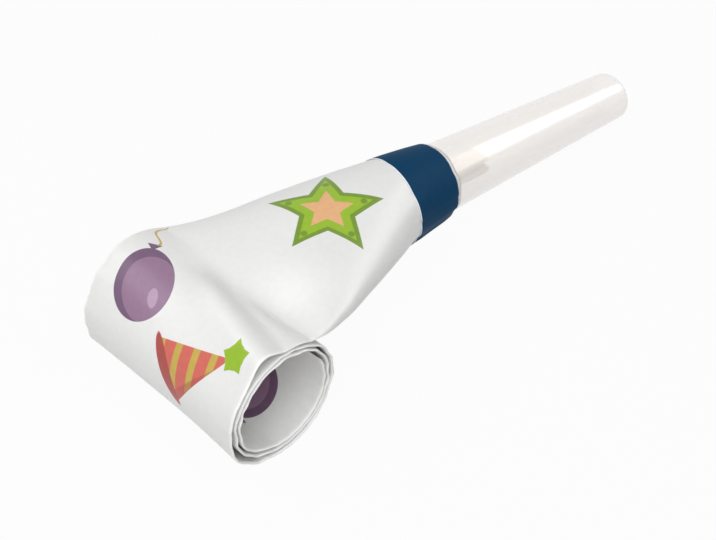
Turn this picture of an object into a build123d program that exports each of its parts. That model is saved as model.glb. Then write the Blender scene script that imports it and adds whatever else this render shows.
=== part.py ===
from build123d import *
import os
from math import asin, atan2, cos, degrees, hypot, radians, sin

os.makedirs("parts", exist_ok=True)

# Party blower: a tapered mouthpiece with a reed, and a flat paper tube rolled up by a curl strip.
# All lengths are in millimetres and all angles in degrees.

# Mouthpiece, a tapered round tube
mouthpiece_length = 53.6
mouthpiece_tail = 9.0
mouthpiece_radius = 6.75
mouthpiece_wall = 1.0
mouth_radius = 4.9
mouth_rim_round = 0.9
inlet_radius = 3.2
inlet_length = 8.0

# Reed unit, pressed into the mouthpiece's tail
block_length = 6.0
trough_length = 16.0
trough_bore = 2.2
trough_wall = 0.8
wedge_ledge = 0.4
tongue_thickness = 0.12
tongue_width = 4.8
tongue_lift = 4.0
tip_overhang = 0.5
press_clearance = 0.05
reed_clearance = 0.04

# Flat paper tube
flat_width = 38.0
tube_thickness = 0.52
paper_wall = 0.13
fold_edge = 0.4
paper_lip = 0.35

# Neck, where the flat tube opens and is gathered round the mouthpiece
neck_length = 37.7
throat_half_width = 8.9
throat_half_height = 8.0
crease_crown = 0.05
pleat_count = 8

# Puffed sections of the neck: shares of its length, of its widening and of the throat's height
neck_puffs = ((0.23, 0.27, 0.94), (0.49, 0.56, 0.78), (0.76, 0.83, 0.50), (0.92, 0.97, 0.25))

# Roll, wound anticlockwise seen from the side that the front view shows
roll_radius = 12.1
roll_turns = 2.9
roll_drop = 0.2
turn_gap = 0.43
segment_count = 25
tip_length = 1.2

# Curl strip, glued along the inside of the paper tube
strip_width = 4.0
strip_thickness = 0.12
glue_gap = 0.03

# Collar, a band of paper round the gathered neck
collar_width = 11.4
collar_thickness = 0.13
collar_gap = 0.06

# The roll's curve: arcs of equal turn, each a little tighter than the one before it
step = 360 * roll_turns / segment_count
pitch = tube_thickness + turn_gap
shrink = pitch * step / 360
crease_angle = 90 - step / 2
half_tube = tube_thickness / 2
half_cavity = half_tube - paper_wall


def spoke(angle):
    return Vector(cos(radians(angle)), sin(radians(angle)))


crease_x = -collar_width - neck_length
roll_arcs = []
arc_radius = roll_radius - half_tube
arc_centre = Vector(crease_x - arc_radius * cos(radians(crease_angle)), -roll_drop - roll_radius)
arc_start = crease_angle
for turn in range(segment_count):
    roll_arcs.append((arc_centre, arc_radius, arc_start))
    arc_start += step
    arc_centre += spoke(arc_start) * shrink
    arc_radius -= shrink

# The horn lies on a table, on the underside of its roll and on the lower rim of its mouth
under_centre, under_radius = roll_arcs[int((270 - crease_angle) / step)][:2]
under_radius += half_tube
rim_x = mouthpiece_length - mouth_rim_round
rim_z = mouth_radius - mouth_rim_round
reach = rim_x - under_centre.X
rise = -rim_z - under_centre.Y
tilt = degrees(atan2(rise, reach) + asin((under_radius - mouth_rim_round) / hypot(reach, rise)))
table_x = spoke(tilt)
table_z = spoke(tilt + 90)

# The origin is on the table, below the middle of the horn's length
back_centre, back_radius = roll_arcs[int((180 - crease_angle) / step)][:2]
back_end = back_centre.dot(table_x) - back_radius - half_tube
front_end = Vector(rim_x, rim_z).dot(table_x) + mouth_rim_round
horn_x = -(back_end + front_end) / 2
horn_z = under_radius - under_centre.dot(table_z)
horn = Plane(
    origin=(horn_x, 0, horn_z),
    x_dir=(table_x.X, 0, -table_x.Y),
    z_dir=(table_x.Y, 0, table_x.X),
)
side = Plane(origin=horn.origin, x_dir=horn.x_dir, z_dir=(0, -1, 0))


def station(x, z=0):
    # A plane square to the mouthpiece's axis, facing the lips
    return Plane(origin=horn.from_local_coords((x, 0, z)), x_dir=(0, 1, 0), z_dir=horn.x_dir)


def save(piece, label):
    piece.part.label = label
    export_step(piece.part, f"parts/{label}.step")


def half_disc(radius, start):
    # Half of a disc, from the given angle on
    with BuildLine() as outline:
        bow = CenterArc((0, 0), radius, start, 180)
        Line(bow @ 1, bow @ 0)
    make_face(outline.edges())


def pleated(plane, half_width, half_height, half_edge):
    # Corners of a gathered flat tube's section: two bowed layers in flat pleats
    bow = Edge.make_three_point_arc(
        (-half_width, half_edge),
        (0, half_height),
        (half_width, half_edge),
    )
    upper = [bow @ (pleat / pleat_count) for pleat in range(pleat_count + 1)]
    lower = [Vector(corner.X, -corner.Y) for corner in reversed(upper)]
    return [plane.from_local_coords(corner) for corner in upper + lower]


def folded(sections):
    # A solid with flat triangles of paper between each section's corners and the next one's
    facets = [Face(Wire.make_polygon(sections[0])), Face(Wire.make_polygon(sections[-1]))]
    for near, far in zip(sections, sections[1:]):
        near_next = near[1:] + near[:1]
        far_next = far[1:] + far[:1]
        for a, b, c, d in zip(near, near_next, far, far_next):
            facets.append(Face(Wire.make_polygon((a, b, d))))
            facets.append(Face(Wire.make_polygon((a, d, c))))
    return Solid(Shell(facets))


def sector(arc, inner, outer, sweep):
    # A stretch of the roll's curve, between two distances from its middle line
    centre, radius, start = arc
    with BuildLine() as outline:
        far = CenterArc((centre.X, centre.Y), radius + outer, start, sweep)
        near = CenterArc((centre.X, centre.Y), radius + inner, start, sweep)
        Line(far @ 0, near @ 0)
        Line(far @ 1, near @ 1)
    make_face(outline.edges())


# Mouthpiece
bore_radius = mouthpiece_radius - mouthpiece_wall
inlet_start = mouthpiece_length - inlet_length
horn_axis = Axis(horn.origin, horn.x_dir)
with BuildPart() as mouthpiece:
    with BuildSketch(side):
        with BuildLine():
            Polyline(
                (-mouthpiece_tail, bore_radius),
                (-mouthpiece_tail, mouthpiece_radius),
                (0, mouthpiece_radius),
                (mouthpiece_length, mouth_radius),
                (mouthpiece_length, inlet_radius),
                (inlet_start, inlet_radius),
                (0, bore_radius),
                close=True,
            )
        make_face()
    revolve(axis=horn_axis)
    mouth_rim = mouthpiece.edges().filter_by(GeomType.CIRCLE).group_by(horn_axis)[-1]
    fillet(mouth_rim.sort_by(SortBy.RADIUS)[-1], mouth_rim_round)
save(mouthpiece, "mouthpiece")

# Reed block: a plug with an open trough that the tongue beats on
block_radius = bore_radius - press_clearance
trough_radius = trough_bore + trough_wall
wedge_seat = trough_bore + wedge_ledge
block_front = block_length - mouthpiece_tail
with BuildPart() as reed_block:
    with BuildSketch(station(-mouthpiece_tail)):
        Circle(block_radius)
    extrude(amount=block_length)
    with BuildSketch(station(block_front)):
        half_disc(trough_radius, 180)
    extrude(amount=trough_length)
    with BuildSketch(station(-mouthpiece_tail)):
        half_disc(trough_bore, 180)
    extrude(amount=block_length + trough_length - trough_wall, mode=Mode.SUBTRACT)
    with BuildSketch(station(-mouthpiece_tail)):
        half_disc(wedge_seat, 0)
    extrude(amount=block_length, mode=Mode.SUBTRACT)
save(reed_block, "reed_block")

# Reed tongue, sprung up off the trough, and its end that the wedge clamps
tongue_root = block_front + reed_clearance
tongue_length = trough_length - reed_clearance + tip_overhang
root_at = horn.from_local_coords((tongue_root, 0, reed_clearance))
root_dir = horn.x_dir * cos(radians(tongue_lift)) + horn.z_dir * sin(radians(tongue_lift))
with BuildPart() as reed_tongue:
    with BuildSketch(Plane(origin=root_at, x_dir=root_dir, z_dir=(0, -1, 0))):
        Rectangle(tongue_length, tongue_thickness, align=(Align.MIN, Align.MIN))
    extrude(amount=tongue_width / 2, both=True)
    tip_corners = reed_tongue.edges().filter_by(Axis(root_at, root_dir.cross(Vector(0, 1, 0))))
    fillet(tip_corners.group_by(Axis(root_at, root_dir))[-1], tongue_width / 4)
save(reed_tongue, "reed_tongue")

clamped_at = horn.from_local_coords((-mouthpiece_tail + reed_clearance, 0, reed_clearance))
with BuildPart() as reed_root:
    with BuildSketch(Plane(origin=clamped_at, x_dir=horn.x_dir, z_dir=(0, -1, 0))):
        Rectangle(block_length - reed_clearance, tongue_thickness, align=(Align.MIN, Align.MIN))
    extrude(amount=tongue_width / 2, both=True)
save(reed_root, "reed_root")

# Reed wedge, a half-round peg that clamps the tongue's end in the block
clamp_height = tongue_thickness + 2 * reed_clearance
with BuildPart() as reed_wedge:
    with BuildSketch(station(-mouthpiece_tail)):
        half_disc(wedge_seat - press_clearance, 0)
        Rectangle(
            2 * wedge_seat,
            clamp_height,
            align=(Align.CENTER, Align.MIN),
            mode=Mode.SUBTRACT,
        )
    extrude(amount=block_length)
save(reed_wedge, "reed_wedge")

# Paper neck: gathered in pleats under the collar, puffed in the middle, flat at the crease
gathered_wall = 2 * paper_wall
lip_radius = (mouthpiece_radius + press_clearance) / cos(radians(90 / pleat_count)) + gathered_wall
crease_out = spoke(crease_angle)
crease_mid = roll_arcs[0][0] + crease_out * roll_arcs[0][1]
crease = Plane(
    origin=horn.from_local_coords((crease_mid.X, 0, crease_mid.Y)),
    x_dir=(0, 1, 0),
    z_dir=horn.x_dir * crease_out.Y - horn.z_dir * crease_out.X,
)
throat = station(-collar_width)
lip = station(paper_lip)
widening = flat_width / 2 - throat_half_width


def neck_sections(wall, edge):
    # Sections from the crease to the lip, set in by the paper's wall
    sections = [pleated(crease, flat_width / 2 - wall, edge + crease_crown, edge)]
    for along, wide, high in reversed(neck_puffs):
        puff = station(-collar_width - neck_length * along, crease_mid.Y * along)
        half_width = throat_half_width + widening * wide - wall
        sections.append(pleated(puff, half_width, throat_half_height * high - wall, edge))
    sections.append(pleated(throat, throat_half_width - wall, throat_half_height - wall, edge))
    sections.append(pleated(lip, lip_radius - wall, lip_radius - wall, edge))
    return sections


with BuildPart() as paper_neck:
    add(folded(neck_sections(0, half_tube)))
    add(folded(neck_sections(gathered_wall, half_cavity)), mode=Mode.SUBTRACT)
save(paper_neck, "paper_neck")

# Collar
gathered_length = collar_width + paper_lip
collar_grow = paper_lip / gathered_length
front_half_width = lip_radius + (throat_half_width - lip_radius) * collar_grow
front_half_height = lip_radius + (throat_half_height - lip_radius) * collar_grow


def collar_sections(outset):
    back = pleated(throat, throat_half_width + outset, throat_half_height + outset, half_tube)
    front = pleated(station(0), front_half_width + outset, front_half_height + outset, half_tube)
    return [back, front]


with BuildPart() as collar_band:
    add(folded(collar_sections(collar_gap + collar_thickness)))
    add(folded(collar_sections(collar_gap)), mode=Mode.SUBTRACT)
save(collar_band, "collar_band")

# Rolled tube and the curl strip inside it, as short stretches that open one after the other
strip_floor = glue_gap - half_cavity
for number, arc in enumerate(roll_arcs, start=1):
    with BuildPart() as paper_segment:
        with BuildSketch(side):
            sector(arc, -half_tube, half_tube, step)
        extrude(amount=flat_width / 2, both=True)
        with BuildSketch(side):
            sector(arc, -half_cavity, half_cavity, step)
        extrude(amount=flat_width / 2 - fold_edge, both=True, mode=Mode.SUBTRACT)
    save(paper_segment, f"paper_segment_{number:02d}")
    with BuildPart() as curl_strip:
        with BuildSketch(side):
            sector(arc, strip_floor, strip_floor + strip_thickness, step)
        extrude(amount=strip_width / 2, both=True)
    save(curl_strip, f"curl_strip_{number:02d}")

# Tip seal, the folded and glued end of the tube
tip_arc = (arc_centre, arc_radius, arc_start)
with BuildPart() as tip_seal:
    with BuildSketch(side):
        sector(tip_arc, -half_tube, half_tube, degrees(tip_length / arc_radius))
    extrude(amount=flat_width / 2, both=True)
save(tip_seal, "tip_seal")

# The least gap between the turns, measured on points a few degrees apart
sample_count = 8
outer_points = []
inner_points = []
for index, (centre, radius, start) in enumerate(roll_arcs):
    for sample in range(sample_count):
        way = spoke(start + step * sample / sample_count)
        outer_points.append((index, centre + way * (radius + half_tube)))
        inner_points.append((index, centre + way * (radius - half_tube)))
turn_arcs = 360 / step
gaps = []
for inner_index, inner in inner_points:
    for outer_index, outer in outer_points:
        if outer_index - inner_index > turn_arcs / 2:
            gaps.append((inner - outer).length)
roll_length = sum(radians(step) * radius for centre, radius, start in roll_arcs)
print(f"least gap between turns {min(gaps):.3f} mm")
print(f"rolled tube length {roll_length:.1f} mm in {segment_count} stretches of {step:.2f} degrees")
print(f"horn tipped {tilt:.2f} degrees, axis origin at x {horn_x:.3f} z {horn_z:.3f}")
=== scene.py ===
import math
import bmesh
import bpy
import numpy as np
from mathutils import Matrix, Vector


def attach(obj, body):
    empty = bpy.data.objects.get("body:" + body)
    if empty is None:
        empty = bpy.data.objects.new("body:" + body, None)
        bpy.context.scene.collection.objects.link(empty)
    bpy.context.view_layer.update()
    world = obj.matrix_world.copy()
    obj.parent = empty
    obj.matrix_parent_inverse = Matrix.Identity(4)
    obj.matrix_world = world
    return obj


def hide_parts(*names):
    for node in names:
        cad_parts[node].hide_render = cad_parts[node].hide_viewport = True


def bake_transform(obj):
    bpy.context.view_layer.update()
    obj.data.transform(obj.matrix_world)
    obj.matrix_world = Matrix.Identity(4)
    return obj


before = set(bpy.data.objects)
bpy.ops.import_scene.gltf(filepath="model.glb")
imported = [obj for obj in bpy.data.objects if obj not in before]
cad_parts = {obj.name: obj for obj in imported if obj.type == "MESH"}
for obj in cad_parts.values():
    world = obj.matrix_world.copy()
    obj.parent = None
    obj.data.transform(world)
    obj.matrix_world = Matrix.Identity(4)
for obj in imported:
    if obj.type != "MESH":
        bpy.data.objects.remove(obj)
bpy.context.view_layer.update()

scene = bpy.context.scene
scene.view_settings.view_transform = "Standard"
mm = 0.001
tau = 2 * math.pi

horn = {
    "x": 6.586,  # mouthpiece axis at the collar's front edge, mm
    "z": 14.201,
    "tilt": 10.24,  # degrees, the lips lie on the table
}


def hornToWorld(points):  # mm along the horn's own axes to metres
    points = np.asarray(points, float)
    tilt = math.radians(horn["tilt"])
    placed = np.empty_like(points)
    placed[..., 0] = horn["x"] + points[..., 0] * math.cos(tilt) + points[..., 2] * math.sin(tilt)
    placed[..., 1] = points[..., 1]
    placed[..., 2] = horn["z"] - points[..., 0] * math.sin(tilt) + points[..., 2] * math.cos(tilt)
    return placed * mm


def addObject(name, data):
    item = bpy.data.objects.new(name, data)
    scene.collection.objects.link(item)
    return item


# camera
shot = {
    "azimuth": 44.69,  # degrees, from the roll's near end towards the lips
    "drop": 44.43,  # degrees below level
    "right": 13.53,  # horn origin seen from the camera, mm
    "down": -16.31,
    "away": 332.45,
    "lens": 90.5,
}
turn, drop = math.radians(shot["azimuth"]), math.radians(shot["drop"])
ahead = Vector((math.sin(turn) * math.cos(drop), math.cos(turn) * math.cos(drop), -math.sin(drop)))
rightward = Vector((math.cos(turn), -math.sin(turn), 0))
downward = ahead.cross(rightward)
camera = addObject("camera", bpy.data.cameras.new("camera"))
hornOrigin = Vector((horn["x"], 0, horn["z"]))
seen = rightward * shot["right"] + downward * shot["down"] + ahead * shot["away"]
camera.location = (hornOrigin - seen) * mm
camera.rotation_euler = ahead.to_track_quat("-Z", "Y").to_euler()
camera.data.lens = shot["lens"]
camera.data.sensor_width = 36
camera.data.clip_start = 0.01
scene.camera = camera
print("camera placed")


# node helpers
def addNode(tree, kind, **settings):
    node = tree.nodes.new(kind)
    for key, value in settings.items():
        setattr(node, key, value)
    return node


def feed(tree, socket, value):
    if isinstance(value, bpy.types.NodeSocket):
        tree.links.new(value, socket)
    else:
        socket.default_value = value


def calc(tree, operation, *values, clamp=False):
    node = addNode(tree, "ShaderNodeMath", operation=operation, use_clamp=clamp)
    for socket, value in zip(node.inputs, values):
        feed(tree, socket, value)
    return node.outputs[0]


def plus(tree, *values):
    return calc(tree, "ADD", *values)


def minus(tree, *values, clamp=False):
    return calc(tree, "SUBTRACT", *values, clamp=clamp)


def times(tree, *values):
    return calc(tree, "MULTIPLY", *values)


def timesPlus(tree, *values, clamp=False):  # first times second, plus third
    return calc(tree, "MULTIPLY_ADD", *values, clamp=clamp)


def vector(tree, x=0.0, y=0.0, z=0.0):
    node = addNode(tree, "ShaderNodeCombineXYZ")
    for socket, value in zip(node.inputs, (x, y, z)):
        feed(tree, socket, value)
    return node.outputs[0]


def splitVector(tree, value):  # x, y and z sockets
    node = addNode(tree, "ShaderNodeSeparateXYZ")
    feed(tree, node.inputs[0], value)
    return node.outputs[:]


def noise(tree, where, scale, detail=2.0):
    node = addNode(tree, "ShaderNodeTexNoise")
    feed(tree, node.inputs["Vector"], where)
    node.inputs["Scale"].default_value = scale
    node.inputs["Detail"].default_value = detail
    return node.outputs[0]


def swing(tree, where, scale, detail=2.0):  # noise about zero, from -1 to 1
    return timesPlus(tree, noise(tree, where, scale, detail), 2.0, -1.0)


def ramp(tree, value, low, high):  # smooth step from 0 at low to 1 at high
    node = addNode(tree, "ShaderNodeMapRange", interpolation_type="SMOOTHSTEP")
    for name, item in (("Value", value), ("From Min", low), ("From Max", high)):
        feed(tree, node.inputs[name], item)
    return node.outputs[0]


def bellNode(tree, value, middle, width):
    share = calc(tree, "DIVIDE", minus(tree, value, middle), width)
    return calc(tree, "EXPONENT", times(tree, calc(tree, "POWER", share, 2.0), -1.0))


def lengthNode(tree, x, y):
    return calc(tree, "SQRT", plus(tree, calc(tree, "POWER", x, 2.0), calc(tree, "POWER", y, 2.0)))


def mixColour(tree, mask, under, over, blend="MIX"):
    node = addNode(tree, "ShaderNodeMix", data_type="RGBA", blend_type=blend)
    feed(tree, node.inputs[0], mask)
    feed(tree, node.inputs[6], under)
    feed(tree, node.inputs[7], over)
    return node.outputs[2]


def ink(red, green, blue):  # screen colour 0-255 to linear
    parts = []
    for part in (red, green, blue):
        part /= 255
        parts.append(part / 12.92 if part <= 0.04045 else ((part + 0.055) / 1.055) ** 2.4)
    return (*parts, 1.0)


def newGroup(name, kind, inputs, outputs):
    tree = bpy.data.node_groups.new(name, kind)
    for label, socketType in inputs:
        tree.interface.new_socket(label, in_out="INPUT", socket_type=socketType)
    for label, socketType in outputs:
        tree.interface.new_socket(label, in_out="OUTPUT", socket_type=socketType)
    return tree, addNode(tree, "NodeGroupInput"), addNode(tree, "NodeGroupOutput")


def placeGroup(tree, group, **inputs):
    node = addNode(tree, "ShaderNodeGroup", node_tree=group)
    for label, value in inputs.items():
        feed(tree, node.inputs[label], value)
    return node.outputs


real, colour, point = "NodeSocketFloat", "NodeSocketColor", "NodeSocketVector"
artOutputs = (("Colour", colour), ("Ink", real))

# printed motifs, drawn in millimetres on the flat sheet
inks = {
    "green": ink(148, 186, 30),
    "greenDark": ink(112, 146, 26),
    "coral": ink(209, 102, 88),
    "coralDark": ink(170, 72, 66),
    "mauve": ink(146, 113, 142),
    "mauveDark": ink(112, 84, 112),
    "mauvePale": ink(178, 148, 174),
    "ochre": ink(196, 170, 76),
    "peach": ink(232, 178, 128),
}
inkEdge = 0.12  # mm over which an ink edge fades


def inside(tree, distance):  # 1 where the signed distance is below zero
    return timesPlus(tree, distance, -1 / inkEdge, 0.5, clamp=True)


def disc(tree, x, y, centreX, centreY, radiusX, radiusY):
    across = calc(tree, "DIVIDE", minus(tree, x, centreX), radiusX)
    up = calc(tree, "DIVIDE", minus(tree, y, centreY), radiusY)
    beyond = minus(tree, lengthNode(tree, across, up), 1.0)
    return times(tree, beyond, min(radiusX, radiusY))


def starDistance(tree, x, y, tip, notch):
    fold = math.pi / 5
    around = calc(tree, "PINGPONG", calc(tree, "ARCTAN2", x, y), fold)
    length = lengthNode(tree, x, y)
    along = times(tree, length, calc(tree, "COSINE", around))
    side = times(tree, length, calc(tree, "SINE", around))
    edge = Vector((notch * math.cos(fold) - tip, notch * math.sin(fold))).normalized()
    outward = (edge.y, -edge.x)
    lead = times(tree, minus(tree, along, tip), outward[0])
    return timesPlus(tree, side, outward[1], lead)


def paintStar(tree, x, y):
    size = {  # mm
        "tip": 9.6, "notch": 4.6, "rim": 0.8,
        "heartTip": 4.4, "heartNotch": 2.1,
        "dot": 0.55,
        "dots": ((0, 6.3), (5.9, 1.9), (-5.9, 1.9), (3.6, -5.0), (-3.6, -5.0)),
    }
    whole = starDistance(tree, x, y, size["tip"], size["notch"])
    inner = plus(tree, whole, size["rim"])
    tint = mixColour(tree, inside(tree, inner), inks["greenDark"], inks["green"])
    heart = starDistance(tree, x, y, size["heartTip"], size["heartNotch"])
    tint = mixColour(tree, inside(tree, heart), tint, inks["peach"])
    for dotX, dotY in size["dots"]:
        dot = disc(tree, x, y, dotX, dotY, size["dot"], size["dot"])
        tint = mixColour(tree, inside(tree, dot), tint, inks["greenDark"])
    return tint, inside(tree, whole)


def paintBalloon(tree, x, y):
    size = {  # mm
        "width": 6.4, "height": 7.8, "taper": 0.14,
        "lit": (-1.1, 1.3, 5.6, 6.9),  # centre and radii of the paler side
        "gleam": (-2.6, 3.4, 1.1, 2.0),
        "knotTop": -7.2, "knotFoot": -9.2, "knotSlope": 1.3,
        "thread": 0.28, "threadTop": -9.0, "threadFoot": -17.0,
        "sway": 0.9, "swayRate": 0.8,
    }
    widthHere = timesPlus(tree, y, size["taper"], size["width"])
    across = calc(tree, "DIVIDE", x, widthHere)
    up = calc(tree, "DIVIDE", y, size["height"])
    body = minus(tree, lengthNode(tree, across, up), 1.0)
    body = times(tree, body, size["width"])
    lit = disc(tree, x, y, *size["lit"])
    tint = mixColour(tree, inside(tree, lit), inks["mauveDark"], inks["mauve"])
    gleam = disc(tree, x, y, *size["gleam"])
    tint = mixColour(tree, inside(tree, gleam), tint, inks["mauvePale"])
    belowTop = minus(tree, y, size["knotTop"])
    knot = timesPlus(tree, calc(tree, "ABSOLUTE", x), size["knotSlope"], belowTop)
    knot = calc(tree, "MAXIMUM", knot, minus(tree, size["knotFoot"], y))
    tint = mixColour(tree, inside(tree, knot), tint, inks["mauveDark"])
    sway = calc(tree, "SINE", times(tree, y, size["swayRate"]))
    sway = times(tree, sway, size["sway"])
    thread = calc(tree, "ABSOLUTE", minus(tree, x, sway))
    thread = minus(tree, thread, size["thread"])
    thread = calc(tree, "MAXIMUM", thread, minus(tree, y, size["threadTop"]))
    thread = calc(tree, "MAXIMUM", thread, minus(tree, size["threadFoot"], y))
    tint = mixColour(tree, inside(tree, thread), tint, inks["ochre"])
    whole = calc(tree, "MINIMUM", calc(tree, "MINIMUM", body, knot), thread)
    return tint, inside(tree, whole)


def paintHat(tree, x, y):
    size = {  # mm
        "top": 8.6, "foot": -7.0, "half": 6.2,
        "stripe": 4.6, "stripeHalf": 0.85, "stripeLean": 0.55,
        "shadeFrom": 2.4, "shadeLean": -0.22, "shade": 0.55,
        "brim": (7.2, 1.25),
        "tuft": 9.4, "tuftDisc": 2.1, "tuftTip": 3.0, "tuftNotch": 1.9,
    }
    slope = Vector((size["top"] - size["foot"], size["half"])).normalized()
    reach = times(tree, calc(tree, "ABSOLUTE", x), slope.x)
    cone = timesPlus(tree, minus(tree, y, size["top"]), slope.y, reach)
    cone = calc(tree, "MAXIMUM", cone, minus(tree, size["foot"], y))
    lean = timesPlus(tree, x, size["stripeLean"], y)
    stripe = calc(tree, "PINGPONG", lean, size["stripe"] / 2)
    stripe = minus(tree, stripe, size["stripeHalf"])
    tint = mixColour(tree, inside(tree, stripe), inks["coral"], inks["ochre"])
    shadeLine = timesPlus(tree, y, size["shadeLean"], size["shadeFrom"])
    shaded = inside(tree, minus(tree, shadeLine, x))
    tint = mixColour(tree, times(tree, shaded, size["shade"]), tint, inks["coralDark"])
    brim = disc(tree, x, y, 0, size["foot"], *size["brim"])
    tint = mixColour(tree, inside(tree, brim), tint, inks["coralDark"])
    tuft = disc(tree, x, y, 0, size["tuft"], size["tuftDisc"], size["tuftDisc"])
    aboveTuft = minus(tree, y, size["tuft"])
    spikes = starDistance(tree, x, aboveTuft, size["tuftTip"], size["tuftNotch"])
    tuft = calc(tree, "MINIMUM", tuft, spikes)
    tint = mixColour(tree, inside(tree, tuft), tint, inks["green"])
    whole = calc(tree, "MINIMUM", calc(tree, "MINIMUM", cone, brim), tuft)
    return tint, inside(tree, whole)


def motifGroup(name, paint):
    tree, entry, leave = newGroup(name, "ShaderNodeTree", (("X", real), ("Y", real)), artOutputs)
    tint, mask = paint(tree, entry.outputs["X"], entry.outputs["Y"])
    feed(tree, leave.inputs["Colour"], tint)
    feed(tree, leave.inputs["Ink"], mask)
    return tree


sheetPrint = {
    "repeat": 78.0,  # mm along the tube
    "layerShift": -9.0,  # the print on the tube's other layer starts elsewhere
    "layerSlide": 3.6,
    "motifs": (  # name, across, along, turn in degrees, size
        ("star", -0.5, -21.5, 12.0, 1.12),
        ("hat", -7.2, 17.4, 128.0, 0.92),
        ("balloon", 10.0, 11.5, 35.0, 0.86),
    ),
}
motifs = {
    "star": motifGroup("starMotif", paintStar),
    "balloon": motifGroup("balloonMotif", paintBalloon),
    "hat": motifGroup("hatMotif", paintHat),
}


def printGroup(flatWidth):
    tree, entry, leave = newGroup("partyPrint", "ShaderNodeTree", (("Sheet", point),), artOutputs)
    sheetX, sheetY = splitVector(tree, entry.outputs["Sheet"])[:2]
    shifted = plus(tree, sheetX, flatWidth / 2)
    layer = calc(tree, "FLOOR", calc(tree, "DIVIDE", shifted, flatWidth))
    layer = calc(tree, "MAXIMUM", layer, 0.0)  # puffed paper runs on over its near fold
    across = timesPlus(tree, layer, sheetPrint["layerSlide"] - flatWidth, sheetX)
    along = timesPlus(tree, layer, sheetPrint["layerShift"], sheetY)
    half = sheetPrint["repeat"] / 2
    tint, cover = (1.0, 1.0, 1.0, 1.0), 0.0
    for name, placeAcross, placeAlong, angle, size in sheetPrint["motifs"]:
        dx = minus(tree, across, placeAcross)
        dy = calc(tree, "WRAP", minus(tree, along, placeAlong), half, -half)
        cosine, sine = math.cos(math.radians(angle)) / size, math.sin(math.radians(angle)) / size
        turnedX = timesPlus(tree, dx, cosine, times(tree, dy, sine))
        turnedY = timesPlus(tree, dy, cosine, times(tree, dx, -sine))
        motif = placeGroup(tree, motifs[name], X=turnedX, Y=turnedY)
        tint = mixColour(tree, motif["Ink"], tint, motif["Colour"])
        cover = calc(tree, "MAXIMUM", cover, motif["Ink"])
    feed(tree, leave.inputs["Colour"], tint)
    feed(tree, leave.inputs["Ink"], cover)
    return tree


def fibreGroup():  # paper tooth: fine fibres and broad cockle
    size = {"fine": 3.2, "fineHeight": 0.10, "broad": 0.11, "broadHeight": 2.2, "mottle": 0.9}  # scales per mm
    outputs = (("Height", real), ("Mottle", real))
    tree, entry, leave = newGroup("paperFibre", "ShaderNodeTree", (("Sheet", point),), outputs)
    sheet = entry.outputs["Sheet"]
    fine = times(tree, swing(tree, sheet, size["fine"], detail=4.0), size["fineHeight"])
    broad = swing(tree, sheet, size["broad"])
    feed(tree, leave.inputs["Height"], timesPlus(tree, broad, size["broadHeight"], fine))
    feed(tree, leave.inputs["Mottle"], noise(tree, sheet, size["mottle"], detail=5.0))
    return tree


def scuffGroup():  # moulded plastic: rubbed patches and faint flow lines along the part
    size = {"streaks": (60, 900, 900), "patches": 120.0}  # scales per metre
    outputs = (("Rub", real), ("Height", real))
    tree, entry, leave = newGroup("plasticScuff", "ShaderNodeTree", (("Place", point),), outputs)
    spread = addNode(tree, "ShaderNodeMapping")
    feed(tree, spread.inputs["Vector"], entry.outputs["Place"])
    spread.inputs["Scale"].default_value = size["streaks"]
    streak = noise(tree, spread.outputs[0], 1.0, detail=3.0)
    patch = noise(tree, entry.outputs["Place"], size["patches"], detail=3.0)
    feed(tree, leave.inputs["Rub"], times(tree, streak, patch))
    feed(tree, leave.inputs["Height"], streak)
    return tree


paperFibre, plasticScuff = fibreGroup(), scuffGroup()


def flatSheet(tree):  # millimetres across and along the unrolled sheet
    return addNode(tree, "ShaderNodeUVMap", uv_map="flatSheet").outputs[0]


def newMaterial(name, **sockets):
    material = bpy.data.materials.new(name)
    material.use_nodes = True
    tree = material.node_tree
    shader = tree.nodes["Principled BSDF"]
    for key, value in sockets.items():
        shader.inputs[key.replace("_", " ")].default_value = value
    return material, tree, shader


def bumpFrom(tree, shader, height, strength, distance):
    bump = addNode(tree, "ShaderNodeBump")
    bump.inputs["Strength"].default_value = strength
    bump.inputs["Distance"].default_value = distance
    feed(tree, bump.inputs["Height"], height)
    feed(tree, shader.inputs["Normal"], bump.outputs[0])


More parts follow.
